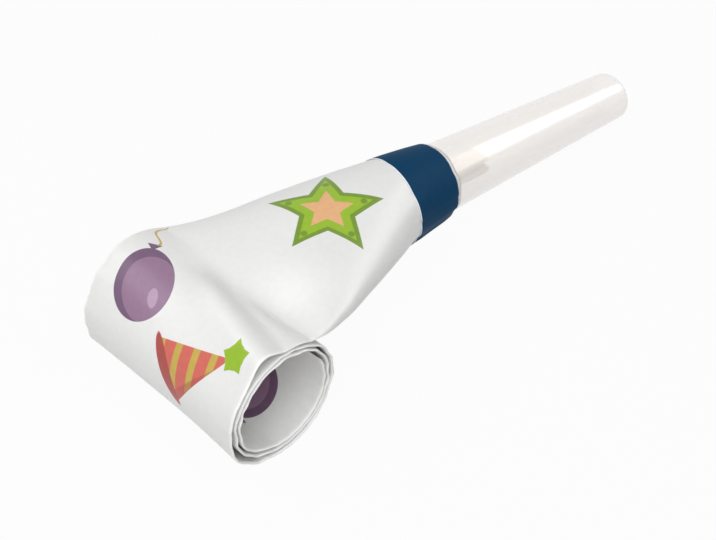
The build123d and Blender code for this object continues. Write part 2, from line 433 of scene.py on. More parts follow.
def paperMaterial(flatWidth):
    look = {
        # the lightest white is a painted highlight laid on the roll's folded edges, where they catch the light
        "white": ink(237, 237, 236), "dull": ink(228, 228, 227), "wearAndFoldHighlight": ink(252, 252, 251),
        "rough": 0.42, "inkRough": 0.34, "roughSpread": 0.08,
        "inkLevel": 0.86, "inkSpread": 0.24,  # how the mottle shows in the inks
        "foldHighlightWidth": (0.05, 0.7),  # mm from a fold
        "foldHighlightPast": (4.0, 12.0),  # mm past the crease: only the roll's folds get the painted highlight
        "bump": (0.35, 0.00012),
    }
    material, tree, shader = newMaterial("printedPaper", Coat_Weight=0.18, Coat_Roughness=0.3, IOR=1.45)
    sheet = flatSheet(tree)
    fibre = placeGroup(tree, paperFibre, Sheet=sheet)
    art = placeGroup(tree, printGroup(flatWidth), Sheet=sheet)
    bare = mixColour(tree, fibre["Mottle"], look["dull"], look["white"])
    across, along = splitVector(tree, sheet)[:2]
    fromMiddle = calc(tree, "ABSOLUTE", minus(tree, across, flatWidth / 2))
    fromFold = calc(tree, "PINGPONG", fromMiddle, flatWidth / 2)
    # painted highlight: the paper turns lighter near the roll's folded edges, where they catch the light
    foldHighlight = minus(tree, 1.0, ramp(tree, fromFold, *look["foldHighlightWidth"]))
    foldHighlight = times(tree, foldHighlight, ramp(tree, along, *look["foldHighlightPast"]))
    bare = mixColour(tree, foldHighlight, bare, look["wearAndFoldHighlight"])
    speck = timesPlus(tree, fibre["Mottle"], look["inkSpread"], look["inkLevel"])
    inked = mixColour(tree, 1.0, art["Colour"], speck, "MULTIPLY")
    feed(tree, shader.inputs["Base Color"], mixColour(tree, art["Ink"], bare, inked))
    rough = timesPlus(tree, art["Ink"], look["inkRough"] - look["rough"], look["rough"])
    rough = timesPlus(tree, fibre["Mottle"], look["roughSpread"], rough)
    feed(tree, shader.inputs["Roughness"], rough)
    bumpFrom(tree, shader, fibre["Height"], *look["bump"])
    return material


def collarMaterial():
    look = {
        "navy": ink(8, 64, 99), "deep": ink(6, 56, 89), "core": ink(240, 242, 246),
        "margin": 0.14,  # mm of bare paper along a cut edge
        "rough": 0.5, "roughSpread": 0.12,
        "bump": (0.3, 0.00008),
    }
    material, tree, shader = newMaterial("navyPaper", Specular_IOR_Level=0.05)
    sheet = flatSheet(tree)
    fibre = placeGroup(tree, paperFibre, Sheet=sheet)
    fromEdge = splitVector(tree, sheet)[1]  # on the band the second value is the distance from a cut edge
    printed = mixColour(tree, fibre["Mottle"], look["deep"], look["navy"])
    bare = calc(tree, "LESS_THAN", fromEdge, look["margin"])
    feed(tree, shader.inputs["Base Color"], mixColour(tree, bare, printed, look["core"]))
    rough = timesPlus(tree, fibre["Mottle"], look["roughSpread"], look["rough"])
    feed(tree, shader.inputs["Roughness"], rough)
    bumpFrom(tree, shader, fibre["Height"], *look["bump"])
    return material


def plasticMaterial(name, pale, dull, rough, **sockets):
    finish = {"roughSpread": 0.16, "bump": (0.06, 0.00005)}
    material, tree, shader = newMaterial(name, **sockets)
    place = addNode(tree, "ShaderNodeTexCoord").outputs["Object"]
    scuff = placeGroup(tree, plasticScuff, Place=place)
    feed(tree, shader.inputs["Base Color"], mixColour(tree, scuff["Rub"], pale, dull))
    wearAndFoldHighlight = timesPlus(tree, scuff["Rub"], finish["roughSpread"], rough)
    feed(tree, shader.inputs["Roughness"], wearAndFoldHighlight)
    bumpFrom(tree, shader, scuff["Height"], *finish["bump"])
    return material


def stripMaterial():
    look = {
        "pale": ink(214, 220, 226), "dull": ink(176, 184, 190),
        "streaks": 1.6,  # per mm
        "rough": 0.2, "roughSpread": 0.2,
        "bump": (0.1, 0.00004),
    }
    material, tree, shader = newMaterial("springStrip", IOR=1.5)
    streak = noise(tree, flatSheet(tree), look["streaks"], detail=4.0)
    feed(tree, shader.inputs["Base Color"], mixColour(tree, streak, look["dull"], look["pale"]))
    rough = timesPlus(tree, streak, look["roughSpread"], look["rough"])
    feed(tree, shader.inputs["Roughness"], rough)
    bumpFrom(tree, shader, streak, *look["bump"])
    return material


tube = {
    "flatWidth": 38.0,  # mm
    "thickness": 0.52,
    "columns": 128,  # points round the flat tube
    "rows": 22,  # points along one stretch
    "squareness": 60.0,  # how tight the folded edges are
}
printedPaper, navyPaper, springStrip = paperMaterial(tube["flatWidth"]), collarMaterial(), stripMaterial()
mouthLook = (ink(255, 248, 242), ink(252, 242, 235), 0.22)  # pale, dull, roughness
milk = {"near": 0.6, "far": 0.2}  # how milky a wall is seen from outside and from inside
mouthPlastic = plasticMaterial("mouthPlastic", *mouthLook, IOR=1.49, Coat_Weight=1.0, Coat_Roughness=0.03)
mouthTree = mouthPlastic.node_tree
fromInside = addNode(mouthTree, "ShaderNodeNewGeometry").outputs["Backfacing"]
haze = timesPlus(mouthTree, fromInside, milk["far"] - milk["near"], milk["near"])
feed(mouthTree, mouthTree.nodes["Principled BSDF"].inputs["Alpha"], haze)
mouthInside = plasticMaterial("mouthInside", *mouthLook, IOR=1.49, Alpha=0.05)
reedPlastic = plasticMaterial("reedPlastic", ink(250, 248, 244), ink(240, 237, 231), 0.3, IOR=1.49, Alpha=0.5)
reedFilm = plasticMaterial("reedFilm", ink(232, 226, 210), ink(214, 206, 186), 0.2, IOR=1.5, Coat_Weight=0.2)
print("materials ready")

# rolled tube: one node tree gives every stretch of the spiral
roll = {
    "radius": 11.84,  # middle of the tube at the top of the roll, mm
    "centreX": -53.32,
    "centreZ": -12.30,
    "pitch": 0.95,  # one turn to the next
    "step": 41.76,  # degrees in one stretch
    "stretches": 25,
    "cockle": 0.10,  # broad waves in the paper, mm
    "rimWave": 1.1,  # crinkles along the folded edges
    "wander": 0.30,  # sideways drift of the winding
    "tip": 1.2,  # crimped end
    "tableGap": 0.02,  # the lowest paper lies this far above the table
    "stripWidth": 4.0,
    "stripThickness": 0.12,
    "stripLift": -0.04,
    "stripSquareness": 40.0,
    "stripColumns": 17,
}
crinkle = {  # noise scales are per mm
    "settle": 10.0,  # mm past the neck in which the waves come in
    "cockle": 0.085,
    "rim": 0.17,
    "rimRing": 12.0,  # mm, turns lying on each other read the same ring of noise
    "rimChange": 0.45,  # how far the noise moves on in a radian
    "rimApart": 40.0,  # keeps the two rims different
    "rimBias": 0.22,
    "rimFall": 7.0,  # power with which the crinkles die out away from the fold
    "drift": 0.05,
    "driftSlice": 3.0,  # which slice of the noise is read
    "fray": 0.5,
    "fraySlice": 5.0,
    "frayShare": 0.15,
    "frayFall": 20.0,
    "seam": 0.002,  # mm
}
topAngle = math.pi / 2
creaseAngle = topAngle - math.radians(roll["step"]) / 2
tighten = roll["pitch"] / tau  # mm that the radius loses for each radian
eyeX = roll["centreX"] - tighten  # fixed point that the spiral winds about
eyeZ = roll["centreZ"]
neckReach = roll["radius"] * (topAngle - creaseAngle)  # mm of tube from the crease to the top of the roll
shoulder = {  # on the near half the roll swells up beside the puffed neck, with a soft hollow between
    "start": 4.4,  # mm past the crease at the middle of the tube
    "slope": -0.21,
    "foot": -3.0,  # mm from the line where the slope starts and ends
    "top": 3.2,
    "reach": 5.0,  # mm in which it dies out over the roll
    "height": 3.0,
    "full": -3.0,  # full height from here to the near edge
    "gone": 8.0,
}
loose = (  # along, across, length, width, lift: where the outer turn stands off, mm
    (9.5, 17.0, 5.5, 9.0, 0.9),
    (33.0, -19.0, 6.0, 9.0, 0.6),
)


def spiralRadius(angle):
    return roll["radius"] - tighten * (angle - topAngle)


def spiralPoint(angle):
    reach = spiralRadius(angle)
    x = eyeX + tighten * math.sin(angle) + reach * math.cos(angle)
    z = eyeZ - tighten * math.cos(angle) + reach * math.sin(angle)
    return x, z


def reshape(tree, kind, geometry, **inputs):  # one geometry node after another
    node = addNode(tree, kind)
    feed(tree, node.inputs[0], geometry)
    for label, value in inputs.items():
        feed(tree, node.inputs[label], value)
    return node.outputs[0]


def spiralTree():
    sizes = (
        "From Angle", "To Angle", "Width", "Thickness", "Lift", "Squareness",
        "Cockle", "Rim Wave", "Wander", "Pinch", "Pinch From",
    )
    inputs = [(name, real) for name in sizes]
    inputs += [("Rows", "NodeSocketInt"), ("Columns", "NodeSocketInt"), ("Paper", "NodeSocketMaterial")]
    tree, entry, leave = newGroup("spiralTube", "GeometryNodeTree", inputs, (("Mesh", "NodeSocketGeometry"),))
    take = entry.outputs
    grid = addNode(tree, "GeometryNodeMeshGrid")
    gridSizes = {"Size X": 1.0, "Size Y": 1.0, "Vertices X": take["Rows"], "Vertices Y": take["Columns"]}
    for label, value in gridSizes.items():
        feed(tree, grid.inputs[label], value)
    gridX, gridY = splitVector(tree, addNode(tree, "GeometryNodeInputPosition").outputs[0])[:2]
    share = plus(tree, gridX, 0.5)
    span = minus(tree, take["To Angle"], take["From Angle"])
    angle = timesPlus(tree, share, span, take["From Angle"])
    around = times(tree, plus(tree, gridY, 0.5), tau)
    cosAround, sinAround = calc(tree, "COSINE", around), calc(tree, "SINE", around)
    cosAngle, sinAngle = calc(tree, "COSINE", angle), calc(tree, "SINE", angle)

    # section: a flat tube with tight folds, pressed shut at the tip
    halfWidth = times(tree, take["Width"], 0.5)
    across = times(tree, times(tree, cosAround, halfWidth), -1.0)
    edge = calc(tree, "ABSOLUTE", cosAround)
    plump = minus(tree, 1.0, calc(tree, "POWER", edge, take["Squareness"]), clamp=True)
    plump = times(tree, calc(tree, "SQRT", plump), calc(tree, "SIGN", sinAround))
    pressed = times(tree, ramp(tree, share, take["Pinch From"], 1.0), take["Pinch"])
    pinch = minus(tree, 1.0, pressed)
    halfThickness = times(tree, take["Thickness"], 0.5)
    offset = times(tree, times(tree, plump, pinch), halfThickness)

    # length along the tube from the crease
    past = minus(tree, angle, topAngle)
    radius = timesPlus(tree, past, -tighten, roll["radius"])
    start = creaseAngle - topAngle
    lead = roll["radius"] * start - tighten * start * start / 2
    bow = times(tree, calc(tree, "POWER", past, 2.0), -tighten / 2)
    along = minus(tree, timesPlus(tree, past, roll["radius"], bow), lead)

    # place on the flat sheet
    sheetAcross = addNode(tree, "GeometryNodeSwitch", input_type="FLOAT")
    feed(tree, sheetAcross.inputs["Switch"], calc(tree, "GREATER_THAN", sinAround, -1e-6))
    feed(tree, sheetAcross.inputs["False"], minus(tree, take["Width"], across))
    feed(tree, sheetAcross.inputs["True"], across)
    store = addNode(tree, "GeometryNodeStoreNamedAttribute", data_type="FLOAT2", domain="CORNER")
    feed(tree, store.inputs["Geometry"], grid.outputs["Mesh"])
    store.inputs["Name"].default_value = "flatSheet"
    feed(tree, store.inputs["Value"], vector(tree, sheetAcross.outputs[0], along))

    # paper waves die out at the top of the roll, where the neck joins on
    settle = ramp(tree, along, neckReach, neckReach + crinkle["settle"])
    cockle = swing(tree, vector(tree, across, along), crinkle["cockle"], detail=1.0)
    wave = times(tree, cockle, take["Cockle"])

    # crinkled folds: neighbouring turns crinkle nearly alike, so they stay clear of each other
    side = calc(tree, "SIGN", across)
    turned = times(tree, past, crinkle["rimChange"])
    ringX = times(tree, cosAngle, crinkle["rimRing"])
    ringY = times(tree, sinAngle, crinkle["rimRing"])
    ringZ = timesPlus(tree, side, crinkle["rimApart"], turned)
    rim = swing(tree, vector(tree, ringX, ringY, ringZ), crinkle["rim"], detail=1.0)
    rim = minus(tree, crinkle["rimBias"], calc(tree, "ABSOLUTE", rim))
    rim = times(tree, rim, take["Rim Wave"])
    rim = times(tree, rim, calc(tree, "POWER", edge, crinkle["rimFall"]))
    wave = times(tree, plus(tree, wave, rim), settle)

    # shoulder beside the neck and loose places of the outer turn
    line = timesPlus(tree, across, shoulder["slope"], shoulder["start"])
    away = minus(tree, along, line)
    swell = times(tree, ramp(tree, away, shoulder["foot"], shoulder["top"]), shoulder["height"])
    dying = bellNode(tree, calc(tree, "MAXIMUM", away, 0.0), 0.0, shoulder["reach"])
    swell = times(tree, swell, dying)
    nearSide = minus(tree, 1.0, ramp(tree, across, shoulder["full"], shoulder["gone"]))
    wave = plus(tree, wave, times(tree, swell, nearSide))
    for placeAlong, placeAcross, long, wide, tall in loose:
        lump = bellNode(tree, along, placeAlong, long)
        lump = times(tree, lump, bellNode(tree, across, placeAcross, wide))
        wave = timesPlus(tree, lump, tall, wave)

    # sideways drift of the winding, and folds that aren't quite straight
    drift = swing(tree, vector(tree, along, crinkle["driftSlice"]), crinkle["drift"], detail=1.0)
    drift = times(tree, drift, take["Wander"])
    fray = swing(tree, vector(tree, along, side, crinkle["fraySlice"]), crinkle["fray"])
    fray = times(tree, fray, times(tree, take["Rim Wave"], crinkle["frayShare"]))
    fray = times(tree, fray, calc(tree, "POWER", edge, crinkle["frayFall"]))
    drift = times(tree, plus(tree, drift, fray), settle)

    reach = plus(tree, plus(tree, radius, take["Lift"]), plus(tree, offset, wave))
    x = timesPlus(tree, reach, cosAngle, timesPlus(tree, sinAngle, tighten, eyeX))
    y = plus(tree, across, drift)
    z = timesPlus(tree, reach, sinAngle, timesPlus(tree, cosAngle, -tighten, eyeZ))
    skin = reshape(tree, "GeometryNodeSetPosition", store.outputs["Geometry"], Position=vector(tree, x, y, z))
    skin = reshape(tree, "GeometryNodeMergeByDistance", skin, Distance=crinkle["seam"])
    skin = reshape(tree, "GeometryNodeFlipFaces", skin)
    skin = reshape(tree, "GeometryNodeSetShadeSmooth", skin)
    skin = reshape(
        tree, "GeometryNodeTransform", skin,
        Translation=(horn["x"] * mm, 0, horn["z"] * mm),
        Rotation=(0, math.radians(horn["tilt"]), 0),
        Scale=(mm, mm, mm),
    )

    # the roll rests on the table, so the paper flattens there
    x, y, z = splitVector(tree, addNode(tree, "GeometryNodeInputPosition").outputs[0])
    onTable = vector(tree, x, y, calc(tree, "MAXIMUM", z, roll["tableGap"] * mm))
    skin = reshape(tree, "GeometryNodeSetPosition", skin, Position=onTable)
    skin = reshape(tree, "GeometryNodeRealizeInstances", skin)
    skin = reshape(tree, "GeometryNodeSetMaterial", skin, Material=take["Paper"])
    feed(tree, leave.inputs["Mesh"], skin)
    return tree


spiral = spiralTree()
spiralIds = {item.name: item.identifier for item in spiral.interface.items_tree if item.in_out == "INPUT"}
paperSizes = {
    "Width": tube["flatWidth"], "Thickness": tube["thickness"], "Lift": 0.0, "Squareness": tube["squareness"],
    "Cockle": roll["cockle"], "Rim Wave": roll["rimWave"], "Wander": roll["wander"],
    "Pinch": 0.0, "Pinch From": 0.7,
    "Rows": tube["rows"], "Columns": tube["columns"] + 1, "Paper": printedPaper,
}
stripSizes = {
    **paperSizes,
    "Width": roll["stripWidth"], "Thickness": roll["stripThickness"], "Lift": roll["stripLift"],
    "Squareness": roll["stripSquareness"], "Rim Wave": 0.0,
    "Columns": roll["stripColumns"], "Paper": springStrip,
}


def windStretch(name, sizes, fromAngle, toAngle, **changes):
    holder = addObject(name + "Holder", bpy.data.meshes.new(name + "Holder"))
    wind = holder.modifiers.new("wind", "NODES")
    wind.node_group = spiral
    settings = {**sizes, "From Angle": fromAngle, "To Angle": toAngle, **changes}
    for label, value in settings.items():
        wind[spiralIds[label]] = value
    bpy.context.view_layer.update()
    wound = holder.evaluated_get(bpy.context.evaluated_depsgraph_get())
    mesh = bpy.data.meshes.new_from_object(wound)
    mesh.name = name
    holder.modifiers.remove(wind)
    bpy.data.objects.remove(holder)
    return mesh


def middleOf(stretch):  # angle at the middle of a stretch, counted from 1
    return topAngle + math.radians(roll["step"]) * (stretch - 1)


def atSpiral(angle):
    x, z = spiralPoint(angle)
    return tuple(hornToWorld((x, 0, z)))


for stretch in range(1, roll["stretches"]):
    fromAngle, toAngle = middleOf(stretch), middleOf(stretch + 1)
    for label, sizes, slot, node in (
        ("paperTurn", paperSizes, "printed_paper", "paper_segment"),
        ("curlStrip", stripSizes, "strip_plastic", "curl_strip"),
    ):
        piece = addObject(f"{label}{stretch + 1:02d}", windStretch(label, sizes, fromAngle, toAngle))
        atSpiral(fromAngle)
        atSpiral(toAngle)
        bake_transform(piece)
        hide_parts(f"{node}_{stretch + 1:02d}")

lastBody = f"roll_{roll['stretches']:02d}"
tipFrom = middleOf(roll["stretches"])
tipTo = tipFrom + math.radians(roll["step"]) / 2 + roll["tip"] / spiralRadius(tipFrom)
tipMesh = windStretch("paperTip", paperSizes, tipFrom, tipTo, Pinch=1.0)
paperTip = addObject("paperTip", tipMesh)
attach(paperTip, lastBody)
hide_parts("tip_seal")
print("tube wound in", roll["stretches"], "stretches")

# neck: gathered round the mouthpiece, puffed, then laid over the roll
creaseX, creaseZ = spiralPoint(creaseAngle)
neck = {
    "x": (0.35, 0.0, -11.4, -20.0, -30.0, -40.0, -46.0, creaseX),  # mm from the collar's front edge
    "near": (7.19, 7.25, 8.9, 11.8, 15.1, 18.2, 19.2, 19.0),  # reach to the camera's side
    "far": (7.19, 7.25, 8.9, 11.1, 13.4, 15.6, 17.6, 19.0),
    "middle": (0.0, 0.0, 0.0, -0.2, -0.5, -0.9, -1.1, creaseZ),
    "bottom": (-7.19, -7.22, -8.0, -7.7, -6.7, -4.9, -3.1, creaseZ - tube["thickness"] / 2),
    "pointed": (1.0, 1.0, 1.0, 1.0, 1.02, 1.15, 1.4, 1.7),  # 1 is an ellipse, 2 a lens
    "pointedNear": (1.0, 1.0, 1.0, 1.0, 0.92, 0.75, 0.85, 1.7),  # rounder on the camera's side
    "topX": (0.35, 0.0, -11.4, -20.0, -30.0, -40.0, -46.0, -50.0, -53.45, -56.0),
    "top": (7.19, 7.22, 8.0, 7.3, 5.7, 3.1, 1.2, 0.05, -0.2, -0.45),
    "rows": 104,
    "overRows": 10,
    "pleats": 15,
    "pleatSeed": 11,
    "pleatWidths": (0.09, 0.2),  # radians
    "pleatDepths": (0.4, 1.0),  # shares of the full depth
    "pleatDepth": 0.32,
    "pleatFade": 7.0,
    "calmFrom": 0.2,  # sine of the angle above which the top is smoother
    "calm": 0.35,
    "foldFrom": -30.0,  # the flat tube's folded edges run out from here towards the collar
    "foldFade": 14.0,
    "reliefFrom": 0.5,  # mm past the crease where the puffs start to fade
    "overFade": 0.8,  # mm in which the puffed end runs out on the roll
    "wall": 0.26,
    "weld": 0.00002,  # metres
}
swells = (  # along from the crease, y, length, width, height: puffs and dents of the upper layer, mm
    (-2.0, -10.0, 4.2, 6.0, -1.9),
    (-11.0, -8.0, 5.0, 5.0, 0.4),
    (-15.0, 5.0, 6.0, 5.0, 0.25),
    (-11.5, -1.0, 0.5, 2.2, -0.1),
    (-21.0, -4.0, 5.0, 4.0, -0.2),
)
collar = {  # navy band wrapped over the gathers
    "front": -0.15,  # mm
    "back": -11.4,
    "frontSlant": 0.45,  # both edges lean towards the roll on the near side
    "backSlant": 1.3,
    "gap": 0.06,
    "thickness": 0.13,
    "start": 4.6,  # radians, on the underside
    "overlap": 0.28,
    "lapLift": 0.17,  # the glued end lies on the other one
    "lapFrom": 0.35,
    "lapRise": 0.3,
    "leanTo": 0.6,  # radians, where the edges lean most
    "rows": 20,
    "columns": 150,
    "kink": 0.34,  # flat folds between the gathers
    "kinks": 11,
    "kinkFade": 2.5,  # mm from a cut edge
    "kinkLeast": 0.2,
    "kinkCalm": 0.8,  # share of the kinks that is gone at the front
    "bridge": 0.75,  # how far the band spans the gathers
    "bridgeFade": 2.0,
    "sheetStep": 8.0,  # mm of sheet in a radian
    "weld": 0.000005,  # metres
}


def easeTable(places, values, at):  # smooth curve through a table
    places, values = np.array(places, float), np.array(values, float)
    order = np.argsort(places)
    places, values = places[order], values[order]
    slopes = np.gradient(values, places)
    index = np.clip(np.searchsorted(places, at) - 1, 0, len(places) - 2)
    width = places[index + 1] - places[index]
    t = np.clip((at - places[index]) / width, 0, 1)
    h00, h10 = 2 * t**3 - 3 * t**2 + 1, t**3 - 2 * t**2 + t
    h01, h11 = 3 * t**2 - 2 * t**3, t**3 - t**2
    before = h00 * values[index] + h10 * width * slopes[index]
    return before + h01 * values[index + 1] + h11 * width * slopes[index + 1]


def bell(value):
    return np.exp(-(value**2))


def softStep(value, low, high):
    share = np.clip((value - low) / (high - low), 0, 1)
    return share * share * (3 - 2 * share)


def upperRelief(along, y, sinAround):  # lift of the upper layer, mm
    lift = np.zeros_like(y)
    for place, side, long, wide, tall in swells:
        lift += tall * bell((along - place) / long) * bell((y - side) / wide)
    lift *= 1 - softStep(along, neck["reliefFrom"], neckReach)
    return lift * np.clip(sinAround * 2, 0, 1)


def turnRelief(along, y):  # shoulder and loose places of the outer turn, mm outward
    away = along - shoulder["start"] - shoulder["slope"] * y
    lift = shoulder["height"] * softStep(away, shoulder["foot"], shoulder["top"])
    lift = lift * bell(np.maximum(away, 0) / shoulder["reach"])
    lift = lift * (1 - softStep(y, shoulder["full"], shoulder["gone"]))
    for place, side, long, wide, tall in loose:
        lift += tall * bell((along - place) / long) * bell((y - side) / wide)
    return lift


pleatDice = np.random.default_rng(neck["pleatSeed"])
pleatAngles = np.sort(pleatDice.uniform(0, tau, neck["pleats"]))
pleatWidths = pleatDice.uniform(*neck["pleatWidths"], neck["pleats"])
pleatDepths = pleatDice.uniform(*neck["pleatDepths"], neck["pleats"])


def pleatPull(around):  # 0 to about 1: how far the gathers pull the paper in
    pull = np.zeros_like(around)
    for angle, width, depth in zip(pleatAngles, pleatWidths, pleatDepths):
        away = (around - angle + math.pi) % tau - math.pi
        pull += depth * bell(away / width)
    return pull * np.where(np.sin(around) > neck["calmFrom"], neck["calm"], 1.0)


def foldProfile(around):  # thin flat tube with tight folded edges
    plump = np.clip(1 - np.abs(np.cos(around)) ** tube["squareness"], 0, 1)
    return np.sign(np.sin(around)) * np.sqrt(plump)


def neckAt(key, x):
    return easeTable(neck["topX" if key == "top" else "x"], neck[key], x)


def neckRing(x, around, inset=0.0):  # one section of the neck, in horn millimetres
    near, far, top, middle, bottom = (neckAt(key, x) for key in ("near", "far", "top", "middle", "bottom"))
    cosAround, sinAround = np.cos(around), np.sin(around)
    nearTop = (cosAround > 0) & (sinAround > 0)
    pointed = np.where(nearTop, neckAt("pointedNear", x), neckAt("pointed", x))
    y = -cosAround * np.where(cosAround > 0, near - inset, far - inset)
    puff = np.sign(sinAround) * np.abs(sinAround) ** pointed
    edge = tube["thickness"] / 2 * (1 - np.clip((x - neck["foldFrom"]) / neck["foldFade"], 0, 1))
    height = np.where(sinAround > 0, top - middle, middle - bottom) - edge - inset
    z = middle + edge * foldProfile(around) + height * puff
    fade = math.exp(-max(0.0, collar["back"] - x) / neck["pleatFade"])
    pull = neck["pleatDepth"] * fade * pleatPull(around)
    length = np.maximum(np.hypot(y, z - middle), 1e-6)
    y, z = y - pull * y / length, z - pull * (z - middle) / length
    z = z + upperRelief(creaseX - x, y, sinAround) + turnRelief(creaseX - x, y)
    return np.stack([np.full_like(y, x), y, z], axis=1)


def overRing(angle, around):  # the puffed end that lies on the first turn
    middleX, middleZ = spiralPoint(angle)
    along = roll["radius"] * (angle - creaseAngle)
    y = -np.cos(around) * tube["flatWidth"] / 2
    sinAround = np.sin(around)
    out = tube["thickness"] / 2 * foldProfile(around) + turnRelief(along, y)
    flatTop = middleZ + tube["thickness"] / 2 * math.sin(angle)
    puff = np.where(sinAround > 0, np.abs(sinAround) ** neck["pointed"][-1], 0)
    fade = 1 - softStep(along, neckReach - neck["overFade"], neckReach)
    rise = max(0.0, float(neckAt("top", middleX) - flatTop)) * fade * puff
    z = middleZ + out * math.sin(angle) + rise + upperRelief(along, y, sinAround)
    return np.stack([middleX + out * math.cos(angle), y, z], axis=1)


def loftMesh(name, rings, sheets, closed=True):  # rings of points joined by quads, with flat-sheet UVs
    rows, columns = len(rings), len(rings[0])
    mesh = bpy.data.meshes.new(name)
    points = hornToWorld(np.concatenate(rings))
    faces, corners = [], []
    last = columns if closed else columns - 1
    for row in range(rows - 1):
        here, above = row * columns, (row + 1) * columns
        for column in range(last):
            after = (column + 1) % columns
            faces.append((here + column, here + after, above + after, above + column))
            corners += [sheets[row][column], sheets[row][column + 1]]
            corners += [sheets[row + 1][column + 1], sheets[row + 1][column]]
    mesh.from_pydata([tuple(item) for item in points], [], faces)
    layer = mesh.uv_layers.new(name="flatSheet")
    layer.data.foreach_set("uv", np.array(corners, np.float32).ravel())
    mesh.polygons.foreach_set("use_smooth", [True] * len(mesh.polygons))
    return mesh


def joinMeshes(name, meshes, weld, closed=False):
    grown = bmesh.new()
    for mesh in meshes:
        grown.from_mesh(mesh)
    bmesh.ops.remove_doubles(grown, verts=grown.verts, dist=weld)
    if closed:
        bmesh.ops.recalc_face_normals(grown, faces=grown.faces)
    joined = bpy.data.meshes.new(name)
    grown.to_mesh(joined)
    grown.free()
    return joined


def neckMesh():
    columns = tube["columns"]
    around = np.arange(columns) / columns * tau
    topLine = columns // 4
    xs = np.linspace(neck["x"][0], creaseX, neck["rows"])
    rings = [neckRing(x, around) for x in xs]
    rings += [overRing(angle, around) for angle in np.linspace(creaseAngle, topAngle, neck["overRows"])[1:]]
    steps = [np.linalg.norm(after[topLine] - before[topLine]) for before, after in zip(rings, rings[1:])]
    alongs = neckReach - sum(steps) + np.concatenate([[0], np.cumsum(steps)])
    sheets = []
    for ring, along in zip(rings, alongs):
        closedRing = np.concatenate([ring, ring[:1]])
        lengths = np.linalg.norm(np.diff(closedRing[:, 1:], axis=0), axis=1)
        arc = np.concatenate([[0], np.cumsum(lengths)])
        upper = arc - arc[topLine]
        lower = tube["flatWidth"] + arc - arc[columns * 3 // 4]
        across = np.where(np.arange(columns + 1) <= columns // 2, upper, lower)
        sheets.append([(place, along) for place in across])
    liner = [neckRing(x, around, neck["wall"]) for x in xs[: neck["rows"] // 2]]
    outer = loftMesh("neckSkin", rings, sheets)
    inner = loftMesh("neckLiner", liner[::-1], sheets[: len(liner)][::-1])
    lip = loftMesh("neckLip", [liner[0], rings[0]], [sheets[0], sheets[0]])
    return joinMeshes("paperNeck", (outer, inner, lip), neck["weld"])


paperNeck = addObject("paperNeck", neckMesh())
paperNeck.data.materials.append(printedPaper)
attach(paperNeck, "horn")
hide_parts("paper_neck", "paper_segment_01")
firstStrip = addObject("curlStrip01", windStretch("curlStrip", stripSizes, creaseAngle, topAngle))
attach(firstStrip, "horn")
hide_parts("curl_strip_01")
print("neck gathered")


def collarMesh():  # the band's glued end is on the underside
    sweep = np.linspace(0, tau + collar["overlap"], collar["columns"])
    around = (collar["start"] + sweep) % tau
    over = collar["lapLift"] * np.clip((sweep - tau + collar["lapFrom"]) / collar["lapRise"], 0, 1)
    kink = np.where(np.sin(around) < 0, np.abs(np.sin(around)), 0) * collar["kink"]
    facet = np.abs(((around * collar["kinks"] / tau) % 1) - 0.5) * 2
    lean = np.cos(around - collar["leanTo"])
    back = collar["back"] - collar["backSlant"] * lean
    front = collar["front"] - collar["frontSlant"] * lean
    skins = []
    for lift in (collar["gap"] + collar["thickness"], collar["gap"]):
        rings, sheets = [], []
        for row in range(collar["rows"] + 1):
            share = row / collar["rows"]
            x = back + (front - back) * share
            ring = np.array([neckRing(float(place), np.array([angle]))[0] for place, angle in zip(x, around)])
            reach = np.maximum(np.hypot(ring[:, 1], ring[:, 2]), 1e-6)
            fromEdge = np.minimum(x - back, front - x)
            bridge = neck["pleatDepth"] * collar["bridge"] * pleatPull(around)  # over the gathers
            bridge = bridge * np.clip(fromEdge / collar["bridgeFade"], 0, 1)
            fold = kink * facet * (1 - share * collar["kinkCalm"])
            fold = fold * np.clip(fromEdge / collar["kinkFade"], collar["kinkLeast"], 1)
            grow = (reach + bridge + lift + over + fold) / reach
            ring[:, 1:] *= grow[:, None]
            rings.append(ring)
            sheets.append([(float(s) * collar["sheetStep"], float(e)) for s, e in zip(sweep, fromEdge)])
        skins.append((rings, sheets))
    (outer, outerSheet), (inner, innerSheet) = skins
    bare = [(across, 0.0) for across, fromEdge in outerSheet[0]]
    meshes = [
        loftMesh("collarOut", outer[::-1], outerSheet[::-1], closed=False),
        loftMesh("collarIn", inner, innerSheet, closed=False),
        loftMesh("collarFront", [outer[-1], inner[-1]], [bare, bare], closed=False),
        loftMesh("collarBack", [inner[0], outer[0]], [bare, bare], closed=False),
    ]
    for column in (0, -1):
        pair = [np.array([ring[column] for ring in skin]) for skin in (outer, inner)]
        if column == 0:
            pair.reverse()
        bareEnd = [(0.0, 0.0)] * len(pair[0])
        meshes.append(loftMesh("collarEnd", pair, [bareEnd, bareEnd], closed=False))
    return joinMeshes("collarBand", meshes, collar["weld"], closed=True)


collarBand = addObject("collarBand", collarMesh())
collarBand.data.materials.append(navyPaper)
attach(collarBand, "horn")
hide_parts("collar_band")
print("collar wrapped")

# mouthpiece
mouth = {
    "tail": -9.0,  # mm
    "length": 53.6,
    "tailRadius": 6.75,
    "taperFrom": -4.0,
    "lipWide": 5.1,
    "lipHigh": 4.75,
    "ovalRadius": 4.9,  # the lips' oval is measured against this
    "bore": 5.75,
    "inlet": 3.2,
    "inletStart": 45.6,
    "inletEnd": 52.6,
    "boreEnd": 42.6,  # first section of the widening bore behind the inlet
    "chamfer": 0.15,
    "lipRound": 0.9,
    "innerRound": 0.35,
    "columns": 120,
    "taperRows": 40,
    "lipRows": 9,
    "innerRows": 6,
    "inletRows": 4,
    "boreRows": 14,
    "weld": 0.000002,  # metres
}


def mouthTaper(x):
    lip = 0.5 * (mouth["lipWide"] + mouth["lipHigh"])
    return mouth["tailRadius"] + (lip - mouth["tailRadius"]) * max(0.0, x) / mouth["length"]


